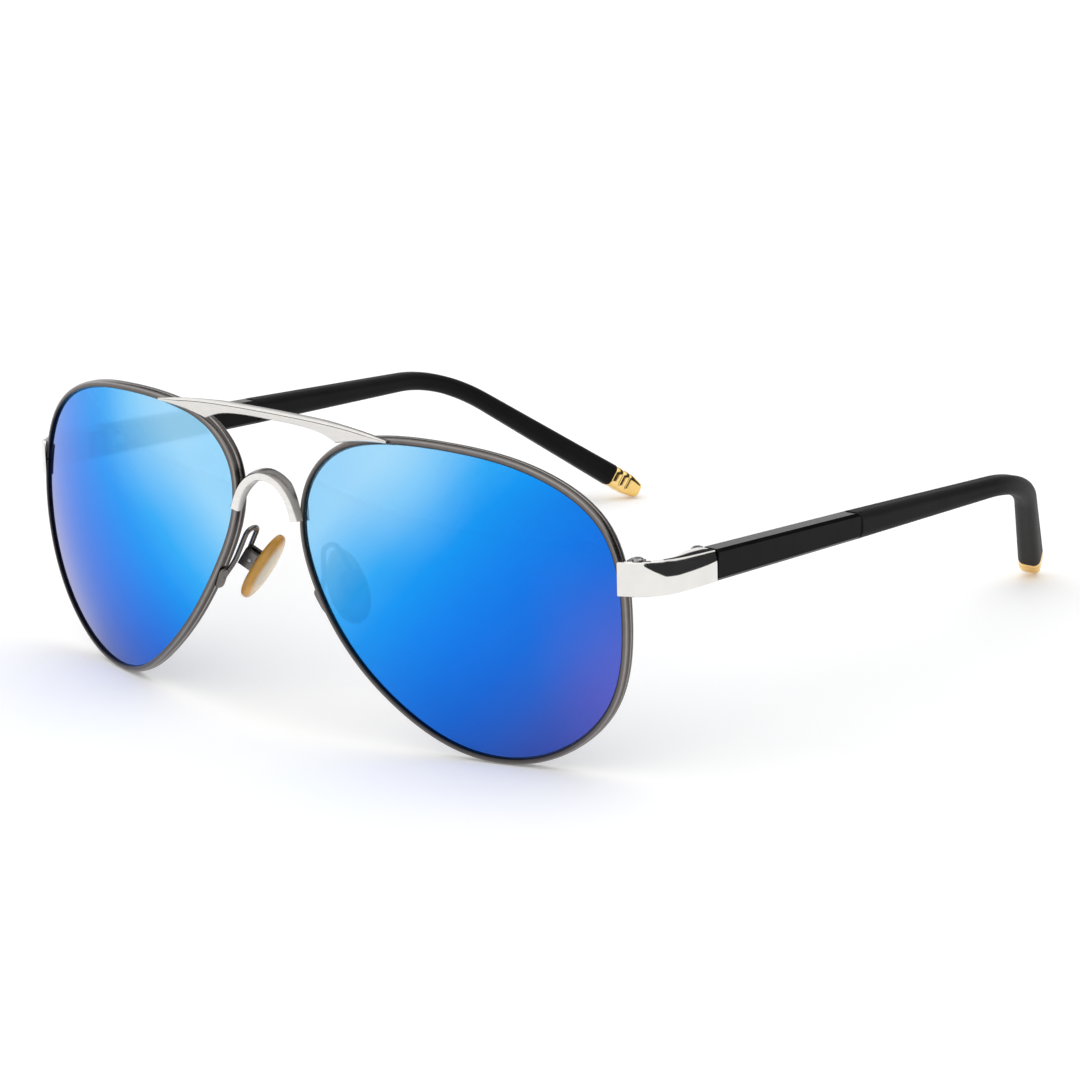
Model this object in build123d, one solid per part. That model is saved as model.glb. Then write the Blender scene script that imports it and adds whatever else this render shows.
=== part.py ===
from build123d import *
import math
import os

# Metal aviator sunglasses with a brow bar over the nose bridge, mirrored lenses and
# rubber-sleeved temples. They stand open on their rims and temple tips, as on a table.
# Millimetres. +X is the wearer's left, the lenses face -Y, +Z is up, and the table is z = 0.
# The left half is modelled and mirrored. Working depth: y = 0 near the middle of the front;
# every part is moved forward by HALF_DEPTH at the end, so the origin is the footprint's centre.

HALF_DEPTH = 76.35
FAR = 60.0                  # longer than any part is thick, for cuts that go right through

# Lens and rim, in the lens plane: u to the temple, v up, w out of the front of the lens.
LENS_CENTRE = (39.14, 0, 26.88)
WRAP = 11.5                 # degrees, outer side turned back
LEAN = 0.9                  # degrees, top leaned forward
BASE_RADIUS = 88.3          # front of the lens, a base 6 curve
LENS_THICK = 1.1
RIM_WIDTH = 1.1             # seen from the front
RIM_DEPTH = 2.2
GROOVE_DEPTH = 0.5
GROOVE_GAP = 0.02           # all round the lens edge
SPLIT_WIDTH = 0.3           # cut through the rim that lets the lens in
SPLIT_HEIGHT = 7.6          # v of that cut
SPLIT_CUT_U = (25, 36)      # reach of that cut across the temple side of the rim
PRISM_LOW, PRISM_HIGH = -20, 10   # w between which the lens and rim lie
RIM_OUTLINE = [
    (31.3, 0), (27.4, 15.8), (14.1, 24.4), (0, 26.7), (-15.1, 26.2), (-23.6, 23.6), (-29.9, 17.2),
    (-31.1, 8.3), (-28.2, 0), (-20.2, -11.7), (-11.3, -19.7), (0, -25.8), (14.9, -25.8), (27.7, -16.0),
]
OFFSET_STEPS = 56

# Closing block that holds the split rim shut, in two halves with one screw.
LOCK_U, LOCK_W = (29.5, 33.2), (-8.4, -6.4)
LOCK_SCREW_U = 32.2
LOCK_HALF = 2.5
LOCK_SCREW_RADIUS = 0.55
LOCK_HEAD_RADIUS, LOCK_HEAD_HEIGHT = 0.95, 0.45
SCREW_GAP = 0.02

# End piece, seen from above: outer face, then inner face back to the front.
END_OUTER = [(67.4, 10.25), (70.7, 12.35), (73.2, 16.4), (73.9, 21.5), (74.0, 28.0)]
END_INNER_STRAIGHT = [(70.4, 28.0), (70.4, 24.2)]
END_INNER = [(70.4, 24.2), (71.9, 18.6), (70.6, 14.4), (67.75, 11.0)]
END_SIDE = [(9.0, 31.45), (28.0, 31.0), (28.0, 36.3), (17.0, 36.9), (9.0, 37.2)]   # y, z

# Hinge: two knuckles on the end piece, one on the temple, a screw through all three.
HINGE_X, HINGE_Y = 69.75, 28.05
KNUCKLE_RADIUS = 1.15
HINGE_LOW, HINGE_HIGH = 31.5, 35.9
MIDDLE_LOW, MIDDLE_HIGH = 32.95, 34.45
KNUCKLE_GAP = 0.08
HINGE_SCREW_RADIUS = 0.5
HINGE_FIT = 0.03            # radial clearance on the screw
HINGE_HEAD_RADIUS, HINGE_HEAD_HEIGHT = 0.95, 0.4
LEAF_THICK = 0.8
LEAF_LENGTH = 3.8
LEAF_TO_AXIS = 0.5          # each leaf begins this far from the hinge axis
LEAF_IN_ARM = 0.4           # the temple's leaf is let into it by this much
TEMPLE_GAP = 0.1            # between the end piece and the temple when open

# Temple centre line: straight back, one bend down and inwards, straight to the tip.
TEMPLE_START = Vector(72.2, 28.1, 33.65)
TEMPLE_CORNER = Vector(70.9, 118.5, 29.2)
TEMPLE_TIP = Vector(48.6, 153.4, 1.2)
BEND_TANGENT = 11.5
ARM_LENGTH = 38.2
ARM_SPARE = 1.0             # drawn longer at the front, then cut square
ARM_THICK = 3.6
ARM_HIGH_FRONT, ARM_HIGH_BACK = 5.35, 4.5
ARM_CORNER = 0.55
SLEEVE_THICK, SLEEVE_HIGH = 4.0, 4.8
BEND_THICK, BEND_HIGH = 3.9, 3.5
SLEEVE_END_THICK, SLEEVE_END_HIGH = 4.3, 4.4
SLEEVE_CORNER = 1.3
CAP_LENGTH = 7.0
CAP_WAIST = 3.85            # from the sleeve to where the cap begins to narrow
CAP_WAIST_THICK, CAP_WAIST_HIGH = 4.15, 4.2
CAP_TIP_THICK, CAP_TIP_HIGH = 3.2, 2.8
CAP_GROOVES = (1.6, 3.1)    # distance of each groove from the sleeve
CAP_GROOVE_WIDTH, CAP_GROOVE_DEPTH = 0.3, 0.2
CAP_GROOVE_HIGH = 3.95      # height of the cap at the floor of a groove
HOOP_SIZE = 9.0             # outside of the ring that cuts a groove
CORE_RADIUS = 0.7
CORE_GAP = 0.03
CORE_IN_ARM = 5.0
CORE_IN_CAP = 3.0

# Brow bar and nose bridge, seen from the front as x, z.
BROW_FRONT, BROW_DEPTH = 0.55, 1.5
BROW_TOP = [(0, 54.55), (12.0, 54.4), (20.0, 53.95), (26.8, 53.15)]
BROW_TIP = (26.8, 52.75)
BROW_LOBE = [(20.5, 52.2), (15.3, 51.2)]
BROW_UNDER = [(15.3, 51.2), (12.6, 52.2), (8.5, 52.85), (0, 53.05)]
BRIDGE_FRONT, BRIDGE_DEPTH = -1.75, 2.2
BRIDGE_OUTER = [(0, 44.7), (4.2, 43.4), (6.9, 40.6), (8.6, 37.2)]
BRIDGE_INNER = [(6.1, 36.7), (5.0, 39.7), (3.1, 41.9), (0, 42.9)]

# Nose pad: the plane's z faces the nose, its y runs up the pad.
PAD_CENTRE = Vector(10.2, 7.9, 24.3)
PAD_UP = Vector(-0.507, 0.189, 0.838)
PAD_FACING = Vector(-0.762, 0.353, -0.540)
PAD_LENGTH, PAD_WIDTH, PAD_THICK = 13.6, 7.4, 2.2
PAD_ROUND = 0.9
INSERT_LENGTH, INSERT_WIDTH, INSERT_THICK = 7.6, 3.4, 0.5
INSERT_BACK = -0.7
PAD_SCREW_Z = -2.4
LUG_RADIUS, LUG_THICK = 0.78, 1.1
BOX_WIDE, BOX_LONG = 2.8, 3.2
BOX_LOW, BOX_HIGH, BOX_FLOOR = -4.0, -1.55, -3.35
BOX_SLOT = 1.3
PAD_SCREW_RADIUS, PAD_SCREW_FIT = 0.4, 0.04
PAD_HEAD_RADIUS, PAD_HEAD_HEIGHT = 0.7, 0.35

# Pad arm: a soldered foot on the nose side of the rim and a looped wire to the pad box.
ARM_WIRE_RADIUS = 0.45
WIRE_IN_BOX = 0.3           # how far the wire's end lies inside the pad box's end
FOOT_PLACE = (-26.75, -3.2, -4.9)   # u, v, w
FOOT_ANGLE = -58.4                  # degrees, along the rim there
FOOT_LONG, FOOT_THICK, FOOT_DEEP = 4.6, 0.8, 1.7
ARM_ROUTE = [(11.7, -0.4, 23.8), (10.8, 1.8, 26.6), (9.2, 3.5, 31.9), (9.4, 6.3, 31.9)]
ARM_RADII = [1.6, 1.3, 1.3]

lens_plane = Plane(Location(LENS_CENTRE) * Rot(Z=WRAP) * Rot(X=90 + LEAN))
pad_plane = Plane(PAD_CENTRE, x_dir=PAD_UP.cross(PAD_FACING), z_dir=PAD_FACING)
back = (TEMPLE_CORNER - TEMPLE_START).normalized()
down = (TEMPLE_TIP - TEMPLE_CORNER).normalized()
bend_start = TEMPLE_CORNER - back * BEND_TANGENT
bend_end = TEMPLE_CORNER + down * BEND_TANGENT
sleeve_end = TEMPLE_TIP - down * CAP_LENGTH
bend_turn = back.get_angle(down)
bend_radius = BEND_TANGENT / math.tan(math.radians(bend_turn / 2))
bend_axis = back.cross(down).normalized()
bend_centre = bend_start + bend_axis.cross(back) * bend_radius


def outline_face(inset):
    """The rim's outer outline moved inwards by inset, as a face in the lens plane."""
    edge = Spline(*RIM_OUTLINE, periodic=True)
    points = []
    for step in range(OFFSET_STEPS):
        place = step / OFFSET_STEPS
        inward = Vector(0, 0, 1).cross(edge.tangent_at(place))
        points.append(edge.position_at(place) + inward * inset)
    return make_face(Spline(*points, periodic=True))


def curved_plate(face, front, rear):
    """A prism of the face kept between two spheres about the lens's centre of curvature."""
    block = Pos(0, 0, PRISM_LOW) * extrude(face, amount=PRISM_HIGH - PRISM_LOW)
    turned = Pos(0, 0, -BASE_RADIUS) * Rot(X=90)
    return (block & (turned * Sphere(BASE_RADIUS + front))) - turned * Sphere(BASE_RADIUS - rear)


def box_between(low, high):
    size = [high[i] - low[i] for i in range(3)]
    middle = [(high[i] + low[i]) / 2 for i in range(3)]
    return Pos(*middle) * Box(*size)


def rod(radius, place, low, high):
    """A cylinder along z at place, from low to high."""
    return Pos(place[0], place[1], (low + high) / 2) * Cylinder(radius, high - low)


def lens():
    return lens_plane * curved_plate(outline_face(RIM_WIDTH - GROOVE_DEPTH), 0, LENS_THICK)


def rim():
    """Grooved eye wire, cut through where the closing block holds it."""
    wall = (RIM_DEPTH - LENS_THICK) / 2
    ring_face = outline_face(0) - outline_face(RIM_WIDTH)
    ring = curved_plate(ring_face, wall, LENS_THICK + wall)
    groove_face = outline_face(RIM_WIDTH - GROOVE_DEPTH - GROOVE_GAP)
    ring -= curved_plate(groove_face, GROOVE_GAP, LENS_THICK + GROOVE_GAP)
    half = SPLIT_WIDTH / 2
    low, high = SPLIT_HEIGHT - half, SPLIT_HEIGHT + half
    ring -= box_between((SPLIT_CUT_U[0], low, PRISM_LOW), (SPLIT_CUT_U[1], high, PRISM_HIGH))
    return lens_plane * ring


def filled_rim(depth):
    """Everything inside the rim's outer wall, from its front face back by depth."""
    wall = (RIM_DEPTH - LENS_THICK) / 2
    return lens_plane * curved_plate(outline_face(0), wall, depth)


def lock_place():
    return LOCK_SCREW_U, (LOCK_W[0] + LOCK_W[1]) / 2


def lock_half(low, high, inside):
    u, w = lock_place()
    block = box_between((LOCK_U[0], low, LOCK_W[0]), (LOCK_U[1], high, LOCK_W[1]))
    block -= Pos(u, 0, w) * Rot(X=90) * Cylinder(LOCK_SCREW_RADIUS + SCREW_GAP, FAR)
    return lens_plane * block - inside


def lock_screw():
    u, w = lock_place()
    low, high = SPLIT_HEIGHT - LOCK_HALF, SPLIT_HEIGHT + LOCK_HALF
    shank = Pos(u, (low + high) / 2, w) * Rot(X=90) * Cylinder(LOCK_SCREW_RADIUS, high - low)
    head = Pos(u, high + LOCK_HEAD_HEIGHT / 2, w) * Rot(X=90) * Cylinder(LOCK_HEAD_RADIUS, LOCK_HEAD_HEIGHT)
    return lens_plane * (shank + head)


def end_piece(ring, locks):
    """Bent strip from the face of the rim round to the hinge, with room for the knuckles."""
    loop = [
        Spline(*END_OUTER),
        Line(END_OUTER[-1], END_INNER_STRAIGHT[0]),
        Line(*END_INNER_STRAIGHT),
        Spline(*END_INNER, tangents=[(0, -1), (-0.86, -0.5)]),
        Line(END_INNER[-1], END_OUTER[0]),
    ]
    strip = extrude(make_face(loop), amount=FAR)
    side = make_face(Polyline(*END_SIDE, close=True))
    strip &= extrude(Plane.YZ * side, amount=2 * FAR)
    strip -= rod(KNUCKLE_RADIUS + KNUCKLE_GAP, (HINGE_X, HINGE_Y), 0, FAR)
    for other in [ring, *locks]:
        strip -= other
    return strip


def knuckle(low, high, hole):
    place = (HINGE_X, HINGE_Y)
    return rod(KNUCKLE_RADIUS, place, low, high) - rod(hole, place, 0, FAR)


def front_knuckles():
    """Two knuckles and the leaf soldered to the inner face of the end piece."""
    face_x = END_INNER[0][0]
    leaf = box_between(
        (face_x - LEAF_THICK, HINGE_Y - LEAF_LENGTH, HINGE_LOW),
        (face_x, HINGE_Y - LEAF_TO_AXIS, HINGE_HIGH),
    )
    leaf -= rod(KNUCKLE_RADIUS + KNUCKLE_GAP, (HINGE_X, HINGE_Y), MIDDLE_LOW - KNUCKLE_GAP,
                MIDDLE_HIGH + KNUCKLE_GAP)
    leaf -= rod(HINGE_SCREW_RADIUS + HINGE_FIT, (HINGE_X, HINGE_Y), 0, FAR)
    hole = HINGE_SCREW_RADIUS + HINGE_FIT
    lower = knuckle(HINGE_LOW, MIDDLE_LOW - KNUCKLE_GAP, hole)
    upper = knuckle(MIDDLE_HIGH + KNUCKLE_GAP, HINGE_HIGH, hole)
    return leaf + lower + upper


def temple_knuckle():
    """The middle knuckle and the leaf soldered to the inner face of the temple."""
    face_x = TEMPLE_START.X - ARM_THICK / 2
    leaf = box_between(
        (face_x - LEAF_THICK, HINGE_Y + LEAF_TO_AXIS, MIDDLE_LOW),
        (face_x + LEAF_IN_ARM, HINGE_Y + LEAF_LENGTH, MIDDLE_HIGH),
    )
    leaf -= rod(HINGE_SCREW_RADIUS + HINGE_FIT, (HINGE_X, HINGE_Y), 0, FAR)
    return leaf + knuckle(MIDDLE_LOW, MIDDLE_HIGH, HINGE_SCREW_RADIUS + HINGE_FIT)


def hinge_screw():
    place = (HINGE_X, HINGE_Y)
    shank = rod(HINGE_SCREW_RADIUS, place, HINGE_LOW, HINGE_HIGH)
    return shank + rod(HINGE_HEAD_RADIUS, place, HINGE_HIGH, HINGE_HIGH + HINGE_HEAD_HEIGHT)


def section_plane(place, along):
    """Across the temple at place: x is its thickness, outwards, and y is its height."""
    return Plane(place, x_dir=along.cross(Vector(0, 0, 1)), z_dir=along)


def bar_section(plane, thick, high, corner):
    return plane * RectangleRounded(thick, high, corner)


def temple_arm(leaf):
    """Tapered bar with flat sides, rounded along its four long edges."""
    outward = back.cross(Vector(0, 0, 1))
    front_half, back_half = ARM_HIGH_FRONT / 2, ARM_HIGH_BACK / 2
    lower = [(-ARM_SPARE, -front_half), (ARM_LENGTH, -back_half)]
    corners = lower + [(ARM_LENGTH, back_half), (-ARM_SPARE, front_half)]
    side = Plane(TEMPLE_START, x_dir=back, z_dir=outward) * make_face(Polyline(*corners, close=True))
    bar = extrude(side, ARM_THICK / 2, both=True)
    long_edges = [edge for edge in bar.edges() if edge.length > ARM_LENGTH]
    bar = fillet(long_edges, ARM_CORNER)
    bar -= box_between((0, 0, 0), (2 * FAR, TEMPLE_START.Y + TEMPLE_GAP / 2, FAR))
    bar -= rod(KNUCKLE_RADIUS + KNUCKLE_GAP, (HINGE_X, HINGE_Y), 0, FAR)
    bar -= core_path(CORE_RADIUS + CORE_GAP)
    return bar - leaf


def core_path(radius):
    """The wire inside the temple, or the hole that it lies in."""
    begin = TEMPLE_START + back * (ARM_LENGTH - CORE_IN_ARM)
    first = Plane(begin, z_dir=back) * Circle(radius)
    turned = Plane(bend_start, z_dir=back) * Circle(radius)
    arc = revolve(turned, Axis(bend_centre, bend_axis), bend_turn)
    last = Plane(bend_end, z_dir=down) * Circle(radius)
    straight = extrude(first, (bend_start - begin).length, dir=back)
    return straight + arc + extrude(last, (sleeve_end - bend_end).length + CORE_IN_CAP, dir=down)


def tip_plane(distance):
    """Across the tip, at a distance beyond the end of the bend."""
    turned = section_plane(bend_start, back)
    spin = Axis(bend_centre, bend_axis)
    x_dir = Vector(*turned.x_dir).rotate(Axis((0, 0, 0), spin.direction), bend_turn)
    return Plane(bend_end + down * distance, x_dir=x_dir, z_dir=down)


def temple_sleeve():
    """Soft sleeve that narrows to the bend and widens again to the cap."""
    begin = TEMPLE_START + back * ARM_LENGTH
    length = (sleeve_end - bend_end).length
    bend = bar_section(section_plane(bend_start, back), BEND_THICK, BEND_HIGH, SLEEVE_CORNER)
    bar = loft([bar_section(section_plane(begin, back), SLEEVE_THICK, SLEEVE_HIGH, SLEEVE_CORNER), bend])
    bar += revolve(bend, Axis(bend_centre, bend_axis), bend_turn)
    bar += loft([
        bar_section(tip_plane(0), BEND_THICK, BEND_HIGH, SLEEVE_CORNER),
        bar_section(tip_plane(length), SLEEVE_END_THICK, SLEEVE_END_HIGH, SLEEVE_CORNER),
    ])
    return bar - core_path(CORE_RADIUS + CORE_GAP)


def tip_cap():
    """Metal cap with two grooves round it and a tapered end."""
    length = (sleeve_end - bend_end).length
    start = bar_section(tip_plane(length), SLEEVE_END_THICK, SLEEVE_END_HIGH, SLEEVE_CORNER)
    waist = bar_section(tip_plane(length + CAP_WAIST), CAP_WAIST_THICK, CAP_WAIST_HIGH, SLEEVE_CORNER)
    end = bar_section(tip_plane(length + CAP_LENGTH), CAP_TIP_THICK, CAP_TIP_HIGH, SLEEVE_CORNER)
    bands = loft([start, waist]) + loft([waist, end])
    for distance in CAP_GROOVES:
        plane = tip_plane(length + distance)
        floor_thick = SLEEVE_END_THICK - 2 * CAP_GROOVE_DEPTH
        floor = bar_section(plane, floor_thick, CAP_GROOVE_HIGH, SLEEVE_CORNER)
        hoop = plane * Rectangle(HOOP_SIZE, HOOP_SIZE) - floor
        bands -= extrude(hoop, CAP_GROOVE_WIDTH, dir=down)
    return bands - core_path(CORE_RADIUS + CORE_GAP)


def mirrored_outline(right_half):
    """Right half from the middle out, and its mirror image, as one list from left to right."""
    left_half = [(-x, z) for x, z in reversed(right_half[1:])]
    return left_half + right_half


def front_plate(face, front, depth):
    """A face drawn as x, z carried back from y = front."""
    return Pos(0, front, 0) * extrude(Plane.XZ * face, amount=-depth)


def brow_bar(filled):
    left = [(-x, z) for x, z in BROW_LOBE]
    loop = [
        Spline(*mirrored_outline(BROW_TOP)),
        Line(BROW_TOP[-1], BROW_TIP),
        Spline(BROW_TIP, *BROW_LOBE),
        Spline(*reversed(mirrored_outline(list(reversed(BROW_UNDER))))),
        Spline((-BROW_TIP[0], BROW_TIP[1]), *left),
        Line((-BROW_TIP[0], BROW_TIP[1]), (-BROW_TOP[-1][0], BROW_TOP[-1][1])),
    ]
    bar = front_plate(make_face(loop), BROW_FRONT, BROW_DEPTH)
    for rim_disc in filled:
        bar -= rim_disc
    return bar


def nose_bridge(filled):
    """Arched band whose ends lap over the faces of both rims."""
    outer = mirrored_outline(BRIDGE_OUTER)
    inner = mirrored_outline(list(reversed(BRIDGE_INNER)))
    loop = [Spline(*outer), Line(outer[-1], inner[-1]), Spline(*inner), Line(inner[0], outer[0])]
    band = front_plate(make_face(loop), BRIDGE_FRONT, BRIDGE_DEPTH)
    for rim_disc in filled:
        band -= rim_disc
    return band


def pad_arm(inside, box):
    """Soldered foot and looped wire in one piece."""
    foot = Pos(*FOOT_PLACE) * Rot(Z=FOOT_ANGLE) * Box(FOOT_LONG, FOOT_THICK, FOOT_DEEP)
    end = pad_plane.from_local_coords(Vector(0, BOX_LONG / 2 - WIRE_IN_BOX, (BOX_LOW + BOX_FLOOR) / 2))
    route = FilletPolyline(*ARM_ROUTE, end, radius=ARM_RADII)
    wire = sweep(Plane(ARM_ROUTE[0], z_dir=route % 0) * Circle(ARM_WIRE_RADIUS), path=route)
    return lens_plane * foot + wire - inside - box


def pad_box():
    """Open channel soldered to the wire, with a cross hole for the pad screw."""
    half_wide, half_long = BOX_WIDE / 2, BOX_LONG / 2
    box = box_between((-half_wide, -half_long, BOX_LOW), (half_wide, half_long, BOX_HIGH))
    half_slot = BOX_SLOT / 2
    box -= box_between((-half_slot, -half_long - 1, BOX_FLOOR), (half_slot, half_long + 1, BOX_HIGH + 1))
    box -= cross_rod(PAD_SCREW_RADIUS + SCREW_GAP, -BOX_WIDE, BOX_WIDE)
    return pad_plane * box


def cross_rod(radius, low, high):
    """A cylinder along the pad's width, on the axis that the pad rocks about."""
    return Pos((low + high) / 2, 0, PAD_SCREW_Z) * Rot(Y=90) * Cylinder(radius, high - low)


def pad_screw():
    half = BOX_WIDE / 2
    head = cross_rod(PAD_HEAD_RADIUS, -half - PAD_HEAD_HEIGHT, -half)
    return pad_plane * (cross_rod(PAD_SCREW_RADIUS, -half, half) + head)


def pad_insert():
    """Metal plate inside the pad, with the lug that the screw passes through."""
    plate = Pos(0, 0, INSERT_BACK) * extrude(SlotOverall(INSERT_LENGTH, INSERT_WIDTH, 90), INSERT_THICK)
    neck = box_between(
        (-LUG_THICK / 2, -LUG_RADIUS, PAD_SCREW_Z),
        (LUG_THICK / 2, LUG_RADIUS, INSERT_BACK + INSERT_THICK / 2),
    )
    lug = cross_rod(LUG_RADIUS, -LUG_THICK / 2, LUG_THICK / 2)
    hole = cross_rod(PAD_SCREW_RADIUS + PAD_SCREW_FIT, -BOX_WIDE, BOX_WIDE)
    return pad_plane * (plate + neck + lug - hole)


def nose_pad(insert):
    body = extrude(Ellipse(PAD_WIDTH / 2, PAD_LENGTH / 2), PAD_THICK / 2, both=True)
    body = fillet(body.edges(), PAD_ROUND)
    return pad_plane * body - insert


def save(name, shape):
    moved = Pos(0, -HALF_DEPTH, 0) * shape
    export_step(moved, f"parts/{name}.step")


def save_both(name, shape):
    save(f"{name}_left", shape)
    save(f"{name}_right", mirror(shape, about=Plane.YZ))


os.makedirs("parts", exist_ok=True)
left_rim = rim()
left_filled = filled_rim(2 * RIM_DEPTH)
left_disc = filled_rim((RIM_DEPTH + LENS_THICK) / 2)
both_filled = [left_filled, mirror(left_filled, about=Plane.YZ)]
lock_low, lock_high = SPLIT_HEIGHT - LOCK_HALF, SPLIT_HEIGHT + LOCK_HALF
upper_lock = lock_half(SPLIT_HEIGHT + SPLIT_WIDTH / 2, lock_high, left_filled)
lower_lock = lock_half(lock_low, SPLIT_HEIGHT - SPLIT_WIDTH / 2, left_filled)
middle_leaf = temple_knuckle()
channel = pad_box()
insert = pad_insert()

save("brow_bar", brow_bar(both_filled))
save("nose_bridge", nose_bridge(both_filled))
save_both("rim", left_rim)
save_both("lens", lens())
save_both("rim_lock_upper", upper_lock)
save_both("rim_lock_lower", lower_lock)
save_both("rim_lock_screw", lock_screw())
save_both("end_piece", end_piece(left_rim, [upper_lock, lower_lock]))
save_both("hinge_front_knuckles", front_knuckles())
save_both("hinge_temple_knuckle", middle_leaf)
save_both("hinge_screw", hinge_screw())
save_both("temple_arm", temple_arm(middle_leaf))
save_both("temple_core_wire", core_path(CORE_RADIUS))
save_both("temple_sleeve", temple_sleeve())
save_both("tip_cap", tip_cap())
save_both("pad_arm", pad_arm(left_disc, channel))
save_both("pad_box", channel)
save_both("pad_screw", pad_screw())
save_both("pad_insert", insert)
save_both("nose_pad", nose_pad(insert))
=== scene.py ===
# %% [markdown]
# # Metal aviator sunglasses
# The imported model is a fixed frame: its bodies and joints stay where they are. This lesson builds
# the pieces that the eye sees around that frame, worked out with numpy as smooth surfaces, and
# gives every piece a finish made of nodes. Everything is in metres, in the frame of the model:
# +X is the wearer's left, the lenses face -Y, and the table is z = 0.

# %% Load the frame
import math

import bpy
import numpy as np
from mathutils import Matrix, Vector


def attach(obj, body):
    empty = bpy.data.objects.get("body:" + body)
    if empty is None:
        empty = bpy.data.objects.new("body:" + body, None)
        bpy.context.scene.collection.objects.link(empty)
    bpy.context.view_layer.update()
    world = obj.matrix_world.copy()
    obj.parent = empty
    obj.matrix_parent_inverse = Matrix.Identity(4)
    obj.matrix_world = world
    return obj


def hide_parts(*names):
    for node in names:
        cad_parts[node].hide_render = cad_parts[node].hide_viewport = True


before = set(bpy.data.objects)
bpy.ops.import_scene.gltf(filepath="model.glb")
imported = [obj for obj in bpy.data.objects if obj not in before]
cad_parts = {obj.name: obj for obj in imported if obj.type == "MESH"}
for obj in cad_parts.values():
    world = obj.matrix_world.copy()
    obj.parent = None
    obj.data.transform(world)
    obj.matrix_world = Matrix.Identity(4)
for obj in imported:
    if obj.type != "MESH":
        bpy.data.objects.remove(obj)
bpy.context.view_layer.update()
MM = 0.001
SIDES = {"left": 1.0, "right": -1.0}

# %% [markdown]
# ## A smooth line through a few points
# Outlines and centre lines are given by a handful of points each. A cubic spline whose slope and
# curvature both run on through every point is what a bent wire does, so it is the right curve for
# spectacle frames. The slopes at the points come from one small set of linear equations.

# %% Spline through points
def spline(points, where, closed=False):
    """Points on the smooth line through `points`, at shares `where` (0 to 1) of its chord length.

    Between two points the line is the Hermite cubic of its end points and end slopes. The slopes
    solve h1*m0 + 2*(h0 + h1)*m1 + h0*m2 = 3*(h1*s0 + h0*s1), with h the chord lengths and s the
    chord slopes, which makes the curvature continuous.
    """
    points = np.asarray(points, float)
    if closed:
        points = np.vstack([points, points[:1]])
    chords = np.linalg.norm(np.diff(points, axis=0), axis=1)
    knots = np.concatenate([[0], np.cumsum(chords)])
    slopes = np.diff(points, axis=0) / chords[:, None]
    count = len(points)
    system, right = np.zeros((count, count)), np.zeros_like(points)
    inner = np.arange(1, count - 1)
    system[inner, inner - 1] = chords[1:]
    system[inner, inner] = 2 * (chords[:-1] + chords[1:])
    system[inner, inner + 1] = chords[:-1]
    right[1:-1] = 3 * (chords[1:, None] * slopes[:-1] + chords[:-1, None] * slopes[1:])
    if closed:
        system[0, [-2, 0, 1]] = chords[0], 2 * (chords[0] + chords[-1]), chords[-1]
        right[0] = 3 * (chords[0] * slopes[-1] + chords[-1] * slopes[0])
        system[-1, [0, -1]] = 1, -1
    else:
        system[0, :2], right[0] = (2, 1), 3 * slopes[0]
        system[-1, -2:], right[-1] = (1, 2), 3 * slopes[-1]
    ends = np.linalg.solve(system, right)
    place = np.asarray(where, float) * knots[-1]
    span = np.clip(np.searchsorted(knots, place, side="right") - 1, 0, count - 2)
    length = chords[span][:, None]
    t = (place - knots[span])[:, None] / length
    return (
        points[span] * (2 * t**3 - 3 * t**2 + 1)
        + points[span + 1] * (3 * t**2 - 2 * t**3)
        + ends[span] * length * (t**3 - 2 * t**2 + t)
        + ends[span + 1] * length * (t**3 - t**2)
    )


# %% [markdown]
# ## A skin over a grid of points
# Every new piece is a grid: rows of points along it and columns round it. The columns close on
# themselves, and each end is closed by a fan about its middle. The sign of the enclosed volume
# tells whether the faces point outwards, so a mirrored piece is turned the right way by itself.

# %% Grid to mesh
def skin(name, grids, marks=None, sharp=50):
    """A closed mesh over each grid (rows, columns, 3), with numbers stored on its points.

    The volume is a sixth of the sum of corner . (corner x corner) over the triangles; where that
    is below zero, each face is listed backwards.
    """
    points, faces, values, start = [], [], {key: [] for key in marks or {}}, 0
    for index, grid in enumerate(grids):
        rows, columns = grid.shape[:2]
        number = np.arange(rows * columns).reshape(rows, columns)
        first, last = rows * columns, rows * columns + 1
        block = np.vstack([grid.reshape(-1, 3), grid[0].mean(0), grid[-1].mean(0)])
        beside = np.roll(number, -1, axis=1)
        quads = np.stack([number[:-1], beside[:-1], beside[1:], number[1:]], -1).reshape(-1, 4)
        near = np.stack([np.full(columns, first), beside[0], number[0]], -1)
        far = np.stack([np.full(columns, last), number[-1], beside[-1]], -1)
        fans = np.vstack([near, far])
        corners = block[np.vstack([quads[:, :3], quads[:, [0, 2, 3]], fans])]
        if np.einsum("ij,ij->", corners[:, 0], np.cross(corners[:, 1], corners[:, 2])) < 0:
            quads, fans = quads[:, ::-1], fans[:, ::-1]
        faces += (quads + start).tolist() + (fans + start).tolist()
        points.append(block)
        start += len(block)
        for key in values:
            mark = marks[key][index]
            values[key].append(np.concatenate([mark.ravel(), [mark[0].mean(), mark[-1].mean()]]))
    mesh = bpy.data.meshes.new(name)
    mesh.from_pydata(np.vstack(points).tolist(), [], faces)
    for key, value in values.items():
        stored_on = mesh.attributes.new(key, "FLOAT", "POINT")
        stored_on.data.foreach_set("value", np.concatenate(value).astype(np.float32))
    mesh.shade_smooth()
    mesh.set_sharp_from_angle(angle=math.radians(sharp))
    return mesh


def piece(name, mesh, body, slot, replaced=()):
    """Puts a mesh in the scene, riding on a body, in place of the named nodes."""
    made = bpy.data.objects.new(name, mesh)
    bpy.context.scene.collection.objects.link(made)
    made.data.materials.append(FINISHES[slot])
    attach(made, body)
    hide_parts(*replaced)
    print(f"{name}: {len(mesh.polygons)} faces, on {body}")


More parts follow.
